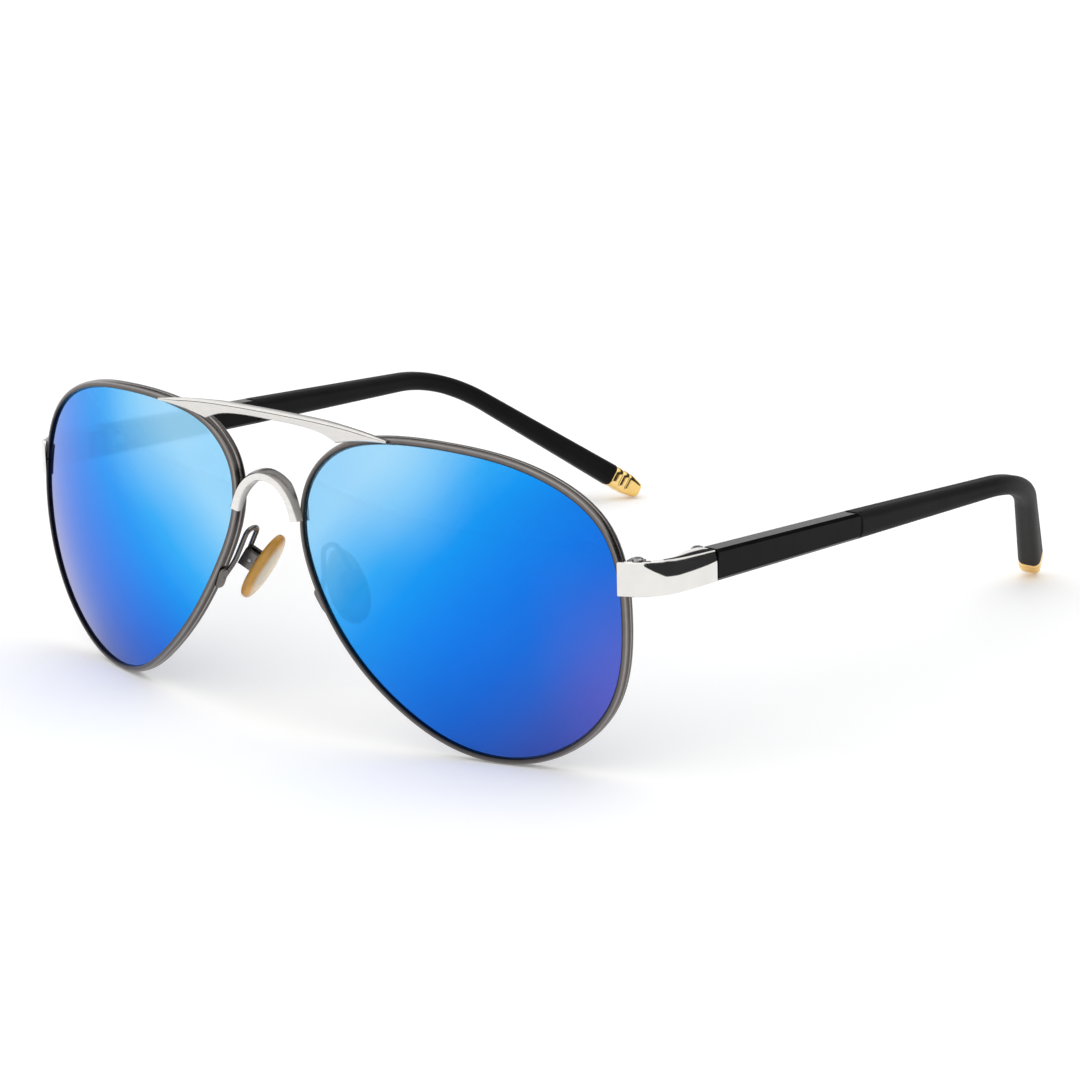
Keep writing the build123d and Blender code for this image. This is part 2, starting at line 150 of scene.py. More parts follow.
# %% [markdown]
# ## A rounded section
# Most bars here are rectangles with rounded corners. Each corner is a quarter circle, and a guard
# point beside each end of it keeps the flat between two corners flat when the surface is shaded.

# %% Rounded rectangle section
def rounded_box(half_wide, half_high, radius, steps=5, guard=0.12):
    """A closed section as (points, 2), anticlockwise. Sizes may be arrays, one for each row.

    Corner k is its centre plus radius * (cos a, sin a), with a from 90k to 90k + 90 degrees; the
    guard points lie further along the flats, a share `guard` of the flat away.
    """
    half_wide, half_high, radius = np.broadcast_arrays(
        *(np.asarray(v, float)[..., None] for v in (half_wide, half_high, radius))
    )
    flat_x, flat_y = half_wide - radius, half_high - radius
    sides = []
    for corner, (sign_x, sign_y) in enumerate([(1, 1), (-1, 1), (-1, -1), (1, -1)]):
        angle = np.radians(90 * corner + np.linspace(0, 90, steps))
        x = sign_x * flat_x + radius * np.cos(angle)
        y = sign_y * flat_y + radius * np.sin(angle)
        upright = corner % 2 == 0
        slide_x = 0 if upright else 2 * guard * flat_x[..., 0] * -sign_x
        slide_y = 2 * guard * flat_y[..., 0] * -sign_y if upright else 0
        before = np.stack([x[..., 0] + slide_x, y[..., 0] + slide_y], -1)
        slide_x = 2 * guard * flat_x[..., 0] * -sign_x if upright else 0
        slide_y = 0 if upright else 2 * guard * flat_y[..., 0] * -sign_y
        beyond = np.stack([x[..., -1] + slide_x, y[..., -1] + slide_y], -1)
        sides += [before[..., None, :], np.stack([x, y], -1), beyond[..., None, :]]
    return np.concatenate(sides, axis=-2)


# %% [markdown]
# ## Sums on sockets
# A finish is easier to read as a formula than as a web of nodes. This small class holds one output
# socket of a node tree. Adding or multiplying it adds a Math node, and `node` makes any other kind:
# its settings are set first, and then its sockets are given numbers, colours or links.

# %% Socket class
class Signal:
    """One output socket that takes part in Python sums."""

    def __init__(self, tree, socket):
        self.tree, self.socket = tree, socket

    def node(self, kind, settings=(), inputs=(), out=0):
        """Adds a node of this kind and returns one of its outputs as a Signal."""
        added = self.tree.nodes.new(kind)
        for key, value in dict(settings).items():
            setattr(added, key, value)
        for key, value in dict(inputs).items():
            if isinstance(value, Signal):
                self.tree.links.new(value.socket, added.inputs[key])
            else:
                added.inputs[key].default_value = value
        return Signal(self.tree, added.outputs[out])

    def math(self, operation, *values):
        return self.node("ShaderNodeMath", {"operation": operation}, enumerate(values))

    def __add__(self, other):
        return self.math("ADD", self, other)

    def __sub__(self, other):
        return self.math("SUBTRACT", self, other)

    def __rsub__(self, other):
        return self.math("SUBTRACT", other, self)

    def __mul__(self, other):
        return self.math("MULTIPLY", self, other)

    __radd__, __rmul__ = __add__, __mul__

    def size(self):
        return self.math("ABSOLUTE", self)

    def ramp(self, low, high, smooth=True):
        """0 below low, 1 above high, and an even or smooth climb between."""
        settings = {"interpolation_type": "SMOOTHSTEP" if smooth else "LINEAR"}
        return self.node("ShaderNodeMapRange", settings, {"Value": self, "From Min": low, "From Max": high})

    def colours(self, stops):
        """A colour ramp with (position, (r, g, b)) stops."""
        made = self.node("ShaderNodeValToRGB", inputs={"Fac": self})
        ramp = made.socket.node.color_ramp
        while len(ramp.elements) < len(stops):
            ramp.elements.new(0.5)
        for element, (position, colour) in zip(ramp.elements, stops):
            element.position, element.color = position, (*colour, 1)
        return made

    def mix(self, first, second):
        """The first colour where this is 0 and the second where it is 1."""
        first, second = (v if isinstance(v, Signal) else (*v, 1) for v in (first, second))
        return self.node("ShaderNodeMix", {"data_type": "RGBA"}, {0: self, 6: first, 7: second}, out=2)

    def split(self):
        """The x, y and z of a vector."""
        x = self.node("ShaderNodeSeparateXYZ", inputs={0: self})
        return [Signal(self.tree, output) for output in x.socket.node.outputs]

    def noise(self, scale, detail=3.0, stretch=(1, 1, 1)):
        """Even noise about 0.5, in the object's own coordinates times stretch."""
        place = self.node("ShaderNodeMapping", inputs={"Vector": self, "Scale": stretch})
        return place.node("ShaderNodeTexNoise", inputs={"Vector": place, "Scale": scale, "Detail": detail})


FINISHES = {}


def finish(slot, **even):
    """A new material for a slot: (shader, object coordinates). `even` values suit the whole surface."""
    made = bpy.data.materials.new(slot)
    made.use_nodes = True
    tree = made.node_tree
    shader = tree.nodes["Principled BSDF"]
    for key, value in even.items():
        shader.inputs[key.replace("_", " ")].default_value = value
    FINISHES[slot] = made
    return shader, Signal(tree, tree.nodes.new("ShaderNodeTexCoord").outputs["Object"])


def connect(shader, **signals):
    """Links varying values to the shader's own sockets."""
    for key, signal in signals.items():
        signal.tree.links.new(signal.socket, shader.inputs[key.replace("_", " ")])


def bump(height, depth_mm):
    """A normal tilted by a height signal, with its real depth in millimetres."""
    return height.node("ShaderNodeBump", inputs={"Height": height, "Distance": depth_mm * MM, "Strength": 1.0})


# %% [markdown]
# ## The sizes of this pair
# The drawing is in millimetres with its own depth zero near the middle of the front, and only the
# left half is drawn. One function carries a drawing into the frame, and mirrors it for the right.

# %% Sizes and places
HALF_DEPTH = 76.35
LENS_CENTRE = np.array([39.14, 0, 26.88])
WRAP, LEAN = math.radians(11.5), math.radians(90.9)
BASE_RADIUS, LENS_THICK = 88.3, 1.1
LENS_INSET = 0.62
SPLIT_HEIGHT, SPLIT_HALF = 7.6, 0.15
RIM_OUTLINE = [
    (31.3, 0), (27.4, 15.8), (14.1, 24.4), (0, 26.7), (-15.1, 26.2), (-23.6, 23.6), (-29.9, 17.2),
    (-31.1, 8.3), (-28.2, 0), (-20.2, -11.7), (-11.3, -19.7), (0, -25.8), (14.9, -25.8), (27.7, -16.0),
]
LENS_AXES = np.array([
    [math.cos(WRAP), math.sin(WRAP), 0],
    [-math.cos(LEAN) * math.sin(WRAP), math.cos(LEAN) * math.cos(WRAP), math.sin(LEAN)],
    [math.sin(LEAN) * math.sin(WRAP), -math.sin(LEAN) * math.cos(WRAP), math.cos(LEAN)],
])
print("lens axes", np.round(LENS_AXES, 4).tolist())


def to_frame(points, side="left"):
    """Drawing millimetres to metres in the model's frame; the right side is the mirror image."""
    return (np.asarray(points) - [0, HALF_DEPTH, 0]) * [SIDES[side] * MM, MM, MM]


def on_lens(u, v, height):
    """Points at (u, v) in the lens plane, at a height above the front of the lens.

    The front of the lens is a sphere of BASE_RADIUS, so the third coordinate is
    w = sqrt((BASE_RADIUS + height)^2 - u^2 - v^2) - BASE_RADIUS.
    """
    w = np.sqrt((BASE_RADIUS + height) ** 2 - u**2 - v**2) - BASE_RADIUS
    return LENS_CENTRE + np.stack([u, v, w], -1) @ LENS_AXES


def rim_face_depth(x, z, height=0.57):
    """Working depth y of the surface just in front of the rim's face, below the point (x, z)."""
    centre = LENS_CENTRE - BASE_RADIUS * LENS_AXES[2]
    away = (np.abs(x) - centre[0]) ** 2 + (z - centre[2]) ** 2
    return centre[1] - np.sqrt((BASE_RADIUS + height) ** 2 - away)


# %% [markdown]
# ## Finishes
# Every finish starts from how the real surface looks: bare metals are fully metallic and
# differ in how rough they are, the rubber is nearly black and rough, and the lens coating is a
# coloured mirror. Fine noise in the object's own coordinates keeps any of them from looking
# computed. Some colours also carry painted light: painted highlight and shade on the rims, the
# brow bar and the bridge, and a painted reflection and highlight on the lens.

# %% Colour helper
def tint(red, green, blue):
    """Display values 0 to 255 to the linear values that shaders use."""
    value = np.array([red, green, blue]) / 255
    return tuple(np.where(value <= 0.04045, value / 12.92, ((value + 0.055) / 1.055) ** 2.4).tolist())


def stored(place, name):
    """The number stored on each point of the mesh under this name."""
    return place.node("ShaderNodeAttribute", {"attribute_name": name}, out=2)


# %% Bare metals
shader, place = finish("gunmetal", Metallic=1.0)
grain = place.noise(900.0, 4.0)
cloud = place.noise(60.0, 2.0)
# Stored numbers on the rims add painted highlight and shade to the tone; where a mesh has none they read as 0.
# The two noises vary the tone at random.
tone_and_painted_light = stored(place, "painted_light_and_shade") + 0.5 + (grain + cloud - 1.0) * 0.12
wire_colour_and_painted_light = tone_and_painted_light.colours([
    (0.0, tint(38, 37, 38)), (0.3, tint(84, 80, 78)), (0.55, tint(122, 117, 114)), (1.0, tint(176, 171, 167)),
])
connect(
    shader,
    Base_Color=wire_colour_and_painted_light,
    Roughness=grain * 0.1 + 0.2,
    Normal=bump(grain, 0.004),
)

shader, place = finish("satin_silver", Metallic=1.0)
brushed = place.noise(500.0, 3.0, (1, 9, 9))
silver = brushed.ramp(0.25, 0.75).mix(tint(226, 223, 219), tint(235, 232, 228))
# Painted shade: where the stored number is below 0 the silver is darkened towards dark grey, for the brow
# bar's back edges and the line under its bevel, and for the bridge's walls.
silver = (0.0 - stored(place, "painted_light_and_shade")).mix(silver, tint(78, 75, 73))
connect(
    shader,
    Base_Color=silver,
    Roughness=brushed * 0.08 + 0.2,
    Normal=bump(brushed, 0.0006),
)

shader, place = finish("polished_silver", Metallic=1.0)
haze = place.noise(120.0, 3.0)
connect(
    shader,
    Base_Color=haze.ramp(0.3, 0.7).mix(tint(222, 220, 215), tint(232, 230, 226)),
    Roughness=haze.ramp(0.25, 0.75) * 0.04 + 0.05,
)

shader, place = finish("small_steel", Metallic=1.0)
turned = place.noise(1500.0, 3.0)
connect(
    shader,
    Base_Color=turned.ramp(0.3, 0.7).mix(tint(150, 150, 152), tint(188, 187, 186)),
    Roughness=turned * 0.15 + 0.22,
    Normal=bump(turned, 0.004),
)

shader, place = finish("gold_cap", Metallic=1.0)
haze = place.noise(200.0, 3.0)
connect(
    shader,
    Base_Color=haze.ramp(0.3, 0.7).mix(tint(240, 200, 118), tint(250, 217, 146)),
    Roughness=haze * 0.08 + 0.1,
)
print("metals:", sorted(FINISHES))

# %% [markdown]
# ## The mirrored lens
# The coating is a pale sky blue at the top near the nose, a clear blue across the middle and a
# deep violet blue towards the bottom and the temple; that change is partly the coating's own
# colour and partly a painted reflection of the bright light above. The colour follows one slanted
# direction in the lens plane, t = v - u, so it is a ramp over t, with a painted highlight near the
# top, a soft pale patch for the reflection of a soft light. The back of a mirrored lens isn't
# coated and looks smoky. A little of what is behind shows through.

# %% Lens coating
shader, place = finish(
    "blue_mirror_lens", Transmission_Weight=1.0, IOR=1.45, Specular_IOR_Level=0.15
)
x, y, z = place.split()
off_centre = x.size() * (1 / MM) - float(LENS_CENTRE[0])
working_y = y * (1 / MM) + HALF_DEPTH
u = off_centre * float(LENS_AXES[0, 0]) + working_y * float(LENS_AXES[0, 1])
v = z * (1 / MM) - float(LENS_CENTRE[2]) + working_y * float(LENS_AXES[1, 1])
# The ramp over t is partly the coating's colour and partly a painted reflection: pale at the top, deep at the
# bottom.
slant = (v - u).ramp(-44.0, 40.0, smooth=False)
coating_and_painted_reflection = slant.colours([
    (0.0, tint(58, 78, 182)), (0.1, tint(46, 82, 192)), (0.19, tint(22, 88, 205)), (0.29, tint(2, 94, 217)),
    (0.4, tint(0, 106, 228)), (0.52, tint(0, 124, 238)), (0.64, tint(0, 146, 245)), (0.74, tint(30, 168, 249)),
    (0.84, tint(90, 192, 252)), (0.96, tint(152, 219, 254)),
])
# Painted highlight: a soft pale patch near the top, standing in for the reflection of a soft light above.
highlight_u, highlight_v = u + 13.0, v - 25.0
squared = highlight_u * highlight_u + highlight_v * highlight_v
painted_highlight = squared.math("SQRT", squared).ramp(21.0, 2.0) * 0.4
violet = u.ramp(14.0, 33.0) * v.ramp(12.0, -16.0) * 0.5
coating_and_painted_reflection = violet.mix(painted_highlight.mix(coating_and_painted_reflection, tint(176, 226, 253)), tint(108, 90, 205))
mottle = place.noise(30.0, 2.0).ramp(0.3, 0.7) * 0.12
coating_and_painted_reflection = mottle.mix(coating_and_painted_reflection, tint(0, 128, 232))
front = stored(place, "front")
haze = place.noise(500.0, 3.0)
connect(
    shader,
    Base_Color=front.mix((0.30, 0.34, 0.42), coating_and_painted_reflection),
    Metallic=front * 0.74,
    Roughness=haze * 0.03 + 0.045,
)

# %% [markdown]
# ## Black bar, rubber and clear pads
# The bar is lacquered: plain glossy black with hardly any texture. The sleeve has the
# faint leather of moulded rubber. A pad is clear vinyl gone amber: pale over its middle, where it
# is thick and faces the nose, and deep gold round its edge.

# %% Lacquer, rubber and vinyl
shader, place = finish("gloss_black_metal", Specular_IOR_Level=0.08)
peel = place.noise(300.0, 2.0)
connect(
    shader,
    Base_Color=peel.ramp(0.3, 0.7).mix((0.002, 0.0021, 0.002), (0.0036, 0.0037, 0.0036)),
    Roughness=peel * 0.08 + 0.16,
    Normal=bump(peel, 0.003),
)

shader, place = finish("matt_black_rubber", Specular_IOR_Level=0.13)
skin_grain = place.noise(2600.0, 4.0)
dust = place.noise(90.0, 3.0)
connect(
    shader,
    Base_Color=dust.ramp(0.3, 0.75).mix((0.0028, 0.003, 0.0028), (0.0055, 0.0058, 0.0054)),
    Roughness=skin_grain * 0.14 + 0.46,
    Normal=bump(skin_grain, 0.02),
)

shader, place = finish("amber_pad", Transmission_Weight=0.5, IOR=1.44, Coat_Weight=0.5, Coat_Roughness=0.04)
edge = stored(place, "edge")
bloom = place.noise(220.0, 3.0)
gold_share = (edge + bloom * 0.06).ramp(0.5, 0.97)
vinyl = gold_share.mix(tint(244, 226, 186), tint(234, 174, 58))
connect(
    shader,
    Base_Color=vinyl,
    Roughness=bloom * 0.06 + 0.07,
)
print("finishes:", sorted(FINISHES))

# %% [markdown]
# ## Rims
# The real rim is one grooved wire bent round the lens, closed by a small screwed block at the
# temple side. It could be a curve with a bevel object, but then the section couldn't stay square
# to the domed lens. Here the section is given as inset from the outline and height above the lens,
# and both are carried round together. The outer wall is domed and the face is a narrow flat.

# %% Rim surface
RIM_SECTION = np.array([
    (0.34, 0.55), (0.42, 0.55), (0.72, 0.55), (0.84, 0.53), (0.98, 0.43), (1.08, 0.28), (1.1, 0.12),
    (1.1, -0.1), (1.1, -1.1), (1.1, -1.3), (1.05, -1.48), (0.93, -1.6), (0.8, -1.65), (0.4, -1.65),
    (0.26, -1.6), (0.12, -1.42), (0.03, -1.15), (0.0, -0.85), (0.01, -0.72), (0.1, -0.62), (0.11, -0.5),
    (0.01, -0.4), (0.0, -0.26), (0.04, 0.05), (0.1, 0.26), (0.18, 0.42), (0.26, 0.51),
])
# One number for each section point paints light into the gunmetal colour: a painted highlight on the outer
# part of the face and in the groove along the outer wall, and painted shade that deepens across the face
# towards the lens, on the side next to the lens, on the back and on the rest of the outer wall.
RIM_PAINTED_LIGHT_AND_SHADE = np.array(
    [0.16, 0.0, -0.1, -0.24, -0.38, -0.48, -0.5, -0.5, -0.5]
    + [-0.4, -0.3, -0.2, -0.1, -0.1, -0.1, -0.12, -0.2, -0.25, -0.1]
    + [0.45, 0.5, 0.05, -0.25, -0.2, -0.08, 0.14, 0.26]
)


def outline(where, inset):
    """Outline points at shares `where` of its length, moved inwards by each inset: (places, insets, 2).

    Inwards is the direction along the outline, (a, b), turned a quarter: (-b, a).
    """
    around = spline(RIM_OUTLINE, where, closed=True)
    along = spline(RIM_OUTLINE, (where + 1e-4) % 1, closed=True) - around
    inward = np.stack([-along[:, 1], along[:, 0]], -1) / np.linalg.norm(along, axis=1)[:, None]
    return around[:, None] + inward[:, None] * np.asarray(inset, float)[None, :, None]


def rim_grid(count=260, samples=2400):
    """Section (inset, height) at every outline point, from just above the split round to just below it."""
    shares = np.linspace(0, 1, samples, endpoint=False)
    places = outline(shares, [0.0])[:, 0]
    temple_side = (places[:, 0] > 20) & (places[:, 1] < 15) & (places[:, 1] > 0)
    ends = [SPLIT_HEIGHT + SPLIT_HALF, SPLIT_HEIGHT - SPLIT_HALF]
    first, last = np.interp(ends, places[temple_side, 1], shares[temple_side])
    flat = outline(np.linspace(first, last + 1, count) % 1, RIM_SECTION[:, 0])
    return on_lens(flat[..., 0], flat[..., 1], RIM_SECTION[None, :, 1])


def lens_grid(rings=28, count=180):
    """Rings from the middle of the front out to the edge and back to the middle of the rear.

    A ring is the inset outline scaled towards the middle by a share; the front has height 0 and
    the rear has height -LENS_THICK, with a small bevel between them.
    """
    edge = outline(np.linspace(0, 1, count, endpoint=False), [LENS_INSET])[:, 0]
    middle = np.array([0.5, 0.5])
    share = np.linspace(0, 1, rings)[1:] ** 0.8
    share = np.concatenate([[0.004], share, [1.0, 1.0], share[::-1], [0.004]])
    front = len(share) // 2
    bevel = [-0.12, -LENS_THICK + 0.12]
    height = np.concatenate([np.zeros(front - 1), bevel, np.full(front - 1, -LENS_THICK)])
    share[front - 2], share[front + 1] = 0.996, 0.996
    flat = middle + share[:, None, None] * (edge - middle)
    grid = on_lens(flat[..., 0], flat[..., 1], height[:, None])
    mark = np.repeat((height > -0.2).astype(float)[:, None], count, axis=1)
    return grid, mark


for side in SIDES:
    rim = rim_grid()
    painted_light_and_shade = np.repeat(RIM_PAINTED_LIGHT_AND_SHADE[None], len(rim), axis=0)
    made = skin(f"eye_rim_{side}", [to_frame(rim, side)], {"painted_light_and_shade": [painted_light_and_shade]}, sharp=60)
    piece(f"eye_rim_{side}", made, "front", "gunmetal", [f"rim_{side}"])
    lens, facing = lens_grid()
    made = skin(f"mirror_lens_{side}", [to_frame(lens, side)], {"front": [facing]}, sharp=40)
    piece(f"mirror_lens_{side}", made, "front", "blue_mirror_lens", [f"lens_{side}"])

# %% [markdown]
# ## Brow bar
# A thin stamped bar runs over both rims, with a bevel along its top and a lobe over each
# rim's inner corner. The bevel's brightness is a painted highlight: the face is painted a little
# darker, with a painted dark line under the bevel and painted shade on the back edges. It is
# drawn from the front as an upper and a lower line over x, and its section runs from one to the
# other. Over the rims its back follows their domed faces.

# %% Brow bar surface
def drawn_line(points, count=200):
    """A spline through points with rising first coordinate, as a function of that coordinate."""
    line = spline(points, np.linspace(0, 1, count))
    return lambda x: np.interp(np.abs(x), line[:, 0], line[:, 1])


brow_top = drawn_line([(0, 54.55), (12.0, 54.4), (20.0, 53.95), (26.8, 53.15)])
brow_under = drawn_line([(0, 53.05), (8.5, 52.85), (12.6, 52.2), (15.3, 51.2)])
brow_lobe = drawn_line([(15.3, 51.2), (20.5, 52.2), (26.8, 52.75)])
half = np.concatenate([
    np.linspace(0, 12, 13), np.linspace(12.6, 15.3, 7), np.linspace(15.9, 26.2, 18), [26.55, 26.7, 26.8],
])
x = np.concatenate([-half[:0:-1], half])
low = np.where(np.abs(x) < 15.3, brow_under(x), brow_lobe(x))
high = brow_top(x)
tall = high - low
BROW_FRONT, BROW_BACK, BROW_BEVEL, BROW_LINE = 0.55, 2.05, 0.3, 0.09
# One number for each section point paints shade into the silver: the bevel stays bright as a painted
# highlight, the face is a little darker, the line under the bevel is a painted dark line and the back edges
# get painted shade.
BROW_PAINTED_LIGHT_AND_SHADE = np.array([-0.9, 0, 0, 0, -0.95, -0.1, -0.12, -0.12, -0.3, -0.8])
bevel, line = np.minimum(BROW_BEVEL, tall * 0.25), np.minimum(BROW_LINE, tall * 0.06)
edge = np.minimum(0.14, tall * 0.2)
lip = high - bevel
heights = np.stack([
    high, high, lip + 0.3 * bevel, lip, lip - line, lip - 2 * line,
    low + edge + 0.04 * tall, low + edge, low, low,
], -1)
backs = np.minimum(BROW_BACK, rim_face_depth(x[:, None], heights))
depths = np.full(heights.shape, BROW_FRONT)
depths[:, 4] += 0.8 * line
depths[:, [0, 9]] = backs[:, [0, 9]]
depths[:, 1] = np.minimum(BROW_FRONT + bevel, backs[:, 1] - 0.08)
depths[:, 8] = np.minimum(BROW_FRONT + 0.14, backs[:, 8] - 0.08)
grid = np.stack([np.repeat(x[:, None], heights.shape[1], axis=1), depths, heights], -1)
painted_light_and_shade = np.repeat(BROW_PAINTED_LIGHT_AND_SHADE[None], len(x), axis=0)
made = skin("brow_plate", [to_frame(grid)], {"painted_light_and_shade": [painted_light_and_shade]}, sharp=28)
piece("brow_plate", made, "front", "satin_silver", ["brow_bar"])

# %% [markdown]
# ## Nose bridge
# The bridge is a narrow arched band, wider at its ends, where it is soldered over the rims' faces.
# Its face is satin silver, and its walls get painted shade about as dark as the rims: a number
# stored on each point says how much painted shade darkens the metal there.

# %% Nose bridge surface
share = np.linspace(0, 1, 61)
outer_half = [(0, 44.7), (4.2, 43.4), (6.9, 40.6), (8.6, 37.2)]
inner_half = [(0, 42.9), (3.1, 41.9), (5.0, 39.7), (6.1, 36.7)]
whole = lambda half: [(-a, b) for a, b in half[:0:-1]] + half
outer, inner = spline(whole(outer_half), share), spline(whole(inner_half), share)
BRIDGE_FRONT, BRIDGE_BACK = -1.75, 0.45
across = np.array([0, 0, 0.08, 0.16, 0.4, 0.62, 0.69, 0.74, 0.98, 1])
flat = inner[:, None] + across[None, :, None] * (outer - inner)[:, None]
rise = np.array([0, 0.25, 0.06, 0.02, 0, 0.02, 0.06, 0.2, 1.3, 0])
rim_depth = rim_face_depth(flat[..., 0], flat[..., 1])
floor = np.minimum(BRIDGE_BACK, rim_depth)
depth = np.minimum(BRIDGE_FRONT + np.repeat(rise[None], len(share), axis=0), floor - 0.06)
depth[:, [0, 9]] = floor[:, [0, 9]]
grid = np.stack([flat[..., 0], depth, flat[..., 1]], -1)
# Painted shade across the band: the face stays silver, its inner edge is darkened a little, and the outer wall
# and the back are darkened strongly.
painted_light_and_shade = np.array([-0.8, -0.35, 0, 0, 0, 0, -0.1, -0.7, -0.85, -0.9])
painted_light_and_shade = np.repeat(painted_light_and_shade[None], len(share), axis=0)
made = skin("bridge_arch", [to_frame(grid)], {"painted_light_and_shade": [painted_light_and_shade]}, sharp=30)
piece("bridge_arch", made, "front", "satin_silver", ["nose_bridge"])

# %% [markdown]
# ## End pieces
# Each end piece is a bent strip that carries the front round to the hinge: thin over the rim and
# thick at the hinge. It is drawn from above as an outer and an inner line, with rows from one end
# to the other. The outer face is slightly domed, which is what makes a polished face catch a wavy
# reflection, and the inner line leaves a round recess for the hinge knuckles.

# %% End piece surface
HINGE = np.array([69.75, 28.05])
HINGE_ROOM = 1.23


def recess(y, wall):
    """Inner wall at depths y, moved outwards where the hinge knuckles need room."""
    reach = HINGE_ROOM**2 - (y - HINGE[1]) ** 2
    return np.where(reach > 0, np.maximum(wall, HINGE[0] + np.sqrt(np.maximum(reach, 0))), wall)


def end_piece_grid(columns=29):
    """Section between an outer and an inner plan point, with a face that leans back near its top.

    The lean climbs smoothly from nothing to 14 degrees about the height t0, which wanders along
    the strip, and the inset of the face is the sum of tan(lean) over its height.
    """
    share = np.concatenate(
        [[0, 0.008], np.linspace(0.03, 0.8, 44), np.linspace(0.812, 0.985, 18), [0.994, 1]]
    )
    outer = spline([(67.4, 10.25), (70.7, 12.35), (73.2, 16.4), (73.9, 21.5), (74.0, 28.0)], share)
    inner = spline([(67.75, 11.0), (70.6, 14.4), (71.9, 18.6), (70.4, 24.2), (70.4, 28.0)], share)
    inner[:, 0] = recess(inner[:, 1], inner[:, 0])
    middle = (outer + inner)[:, 1] / 2
    end = np.interp(share, [0, 0.008, 0.994, 1], [0.1, 0, 0, 0.08])
    low = np.interp(middle, [9, 28], [31.45, 31.0]) + end
    high = np.interp(middle, [9, 17, 28], [37.2, 36.9, 36.3]) - end
    t = np.linspace(-1, 1, columns)
    stations = [0, 0.19, 0.29, 0.4, 0.52, 0.7, 0.88, 1]
    t0 = np.interp(share, stations, [1.6, 0.95, 0.5, 0.06, 0.0, 0.05, 0.14, 0.26])
    climb = np.clip((t[None] - t0[:, None] + 0.22) / 0.44, 0, 1)
    lean = np.tan(np.radians(14) * climb**2 * (3 - 2 * climb))
    half = (high - low)[:, None] / 2
    inset = np.cumsum(lean * half * (t[1] - t[0]), axis=1)
    outward = outer - inner
    thick = np.linalg.norm(outward, axis=1)[:, None]
    outward = outward / thick
    inset = np.minimum(inset, thick - 0.45) + end[:, None]
    corner = np.array([0.13, *np.zeros(columns - 2), 0.13])
    face = inner[:, None] + outward[:, None] * (thick - 0.04 - inset - corner)[..., None]
    z = (low + high)[:, None] / 2 + t[None] * half
    z[:, [1, -2]] = z[:, [0, -1]] + [[0.1, -0.1]]
    front = np.concatenate([face, z[..., None]], -1)
    rear_in = np.array([0.12, 0.0, 0.0, 0.12])
    rear = inner[:, None] + outward[:, None] * rear_in[None, :, None]
    rear_z = np.stack([high, high - 0.12, low + 0.12, low], -1)
    return np.concatenate([front, np.concatenate([rear, rear_z[..., None]], -1)], axis=1)


for side in SIDES:
    made = skin(f"end_strip_{side}", [to_frame(end_piece_grid(), side)], sharp=32)
    piece(f"end_strip_{side}", made, "front", "polished_silver", [f"end_piece_{side}"])

# %% [markdown]
# ## Temples
# A temple is a gloss black bar, then a rubber sleeve that bends down behind the ear, then a metal
# cap. All three follow one centre line: straight, an arc and straight again. A curve object could
# carry a section along it too, but not a mouth that is cut in a bow or a cap with grooves, so
# the rows are set one by one at distances along the line.

# %% Temple centre line
TEMPLE_START = np.array([72.2, 28.1, 33.65])
TEMPLE_CORNER = np.array([70.9, 118.5, 29.2])
TEMPLE_TIP = np.array([48.6, 153.4, 1.2])
BEND_TANGENT, ARM_LENGTH, CAP_LENGTH = 11.5, 38.2, 7.0
unit = lambda v: v / np.linalg.norm(v)
back, down = unit(TEMPLE_CORNER - TEMPLE_START), unit(TEMPLE_TIP - TEMPLE_CORNER)
bend_axis = unit(np.cross(back, down))
bend_turn = math.acos(back @ down)
bend_radius = BEND_TANGENT / math.tan(bend_turn / 2)
straight = np.linalg.norm(TEMPLE_CORNER - TEMPLE_START) - BEND_TANGENT
arc = bend_radius * bend_turn
temple_whole = straight + arc + np.linalg.norm(TEMPLE_TIP - TEMPLE_CORNER) - BEND_TANGENT
sleeve_end = temple_whole - CAP_LENGTH
print(f"temple {temple_whole:.1f} mm, bend {math.degrees(bend_turn):.1f} degrees at radius {bend_radius:.1f}")


def temple_rows(distance, section, shift=0.0):
    """Sections (rows, columns, 2) across the temple at distances from its front, in working mm.

    The middle and the two cross directions are straight up to the bend; in it each direction v
    turns by a about the bend's axis k: v cos a + (k x v) sin a + k (k . v)(1 - cos a). Shift moves
    points along the line.
    """
    distance = np.asarray(distance, float)[:, None]
    angle = np.clip((distance - straight) / bend_radius, 0, bend_turn)
    cosine, sine = np.cos(angle), np.sin(angle)
    turned = lambda v: v * cosine + np.cross(bend_axis, v) * sine + bend_axis * (bend_axis @ v) * (1 - cosine)
    elbow = TEMPLE_START + back * straight
    hub = elbow + np.cross(bend_axis, back) * bend_radius
    middle = hub + turned(elbow - hub)
    middle = middle + back * np.minimum(distance - straight, 0)
    middle = middle + down * np.maximum(distance - straight - arc, 0)
    outward = unit(np.cross(back, [0, 0, 1.0]))
    upward = np.cross(outward, back)
    across = turned(outward)[:, None] * section[..., :1] + turned(upward)[:, None] * section[..., 1:]
    shift = np.broadcast_to(shift, section.shape[:2])[..., None]
    return middle[:, None] + across + turned(back)[:, None] * shift


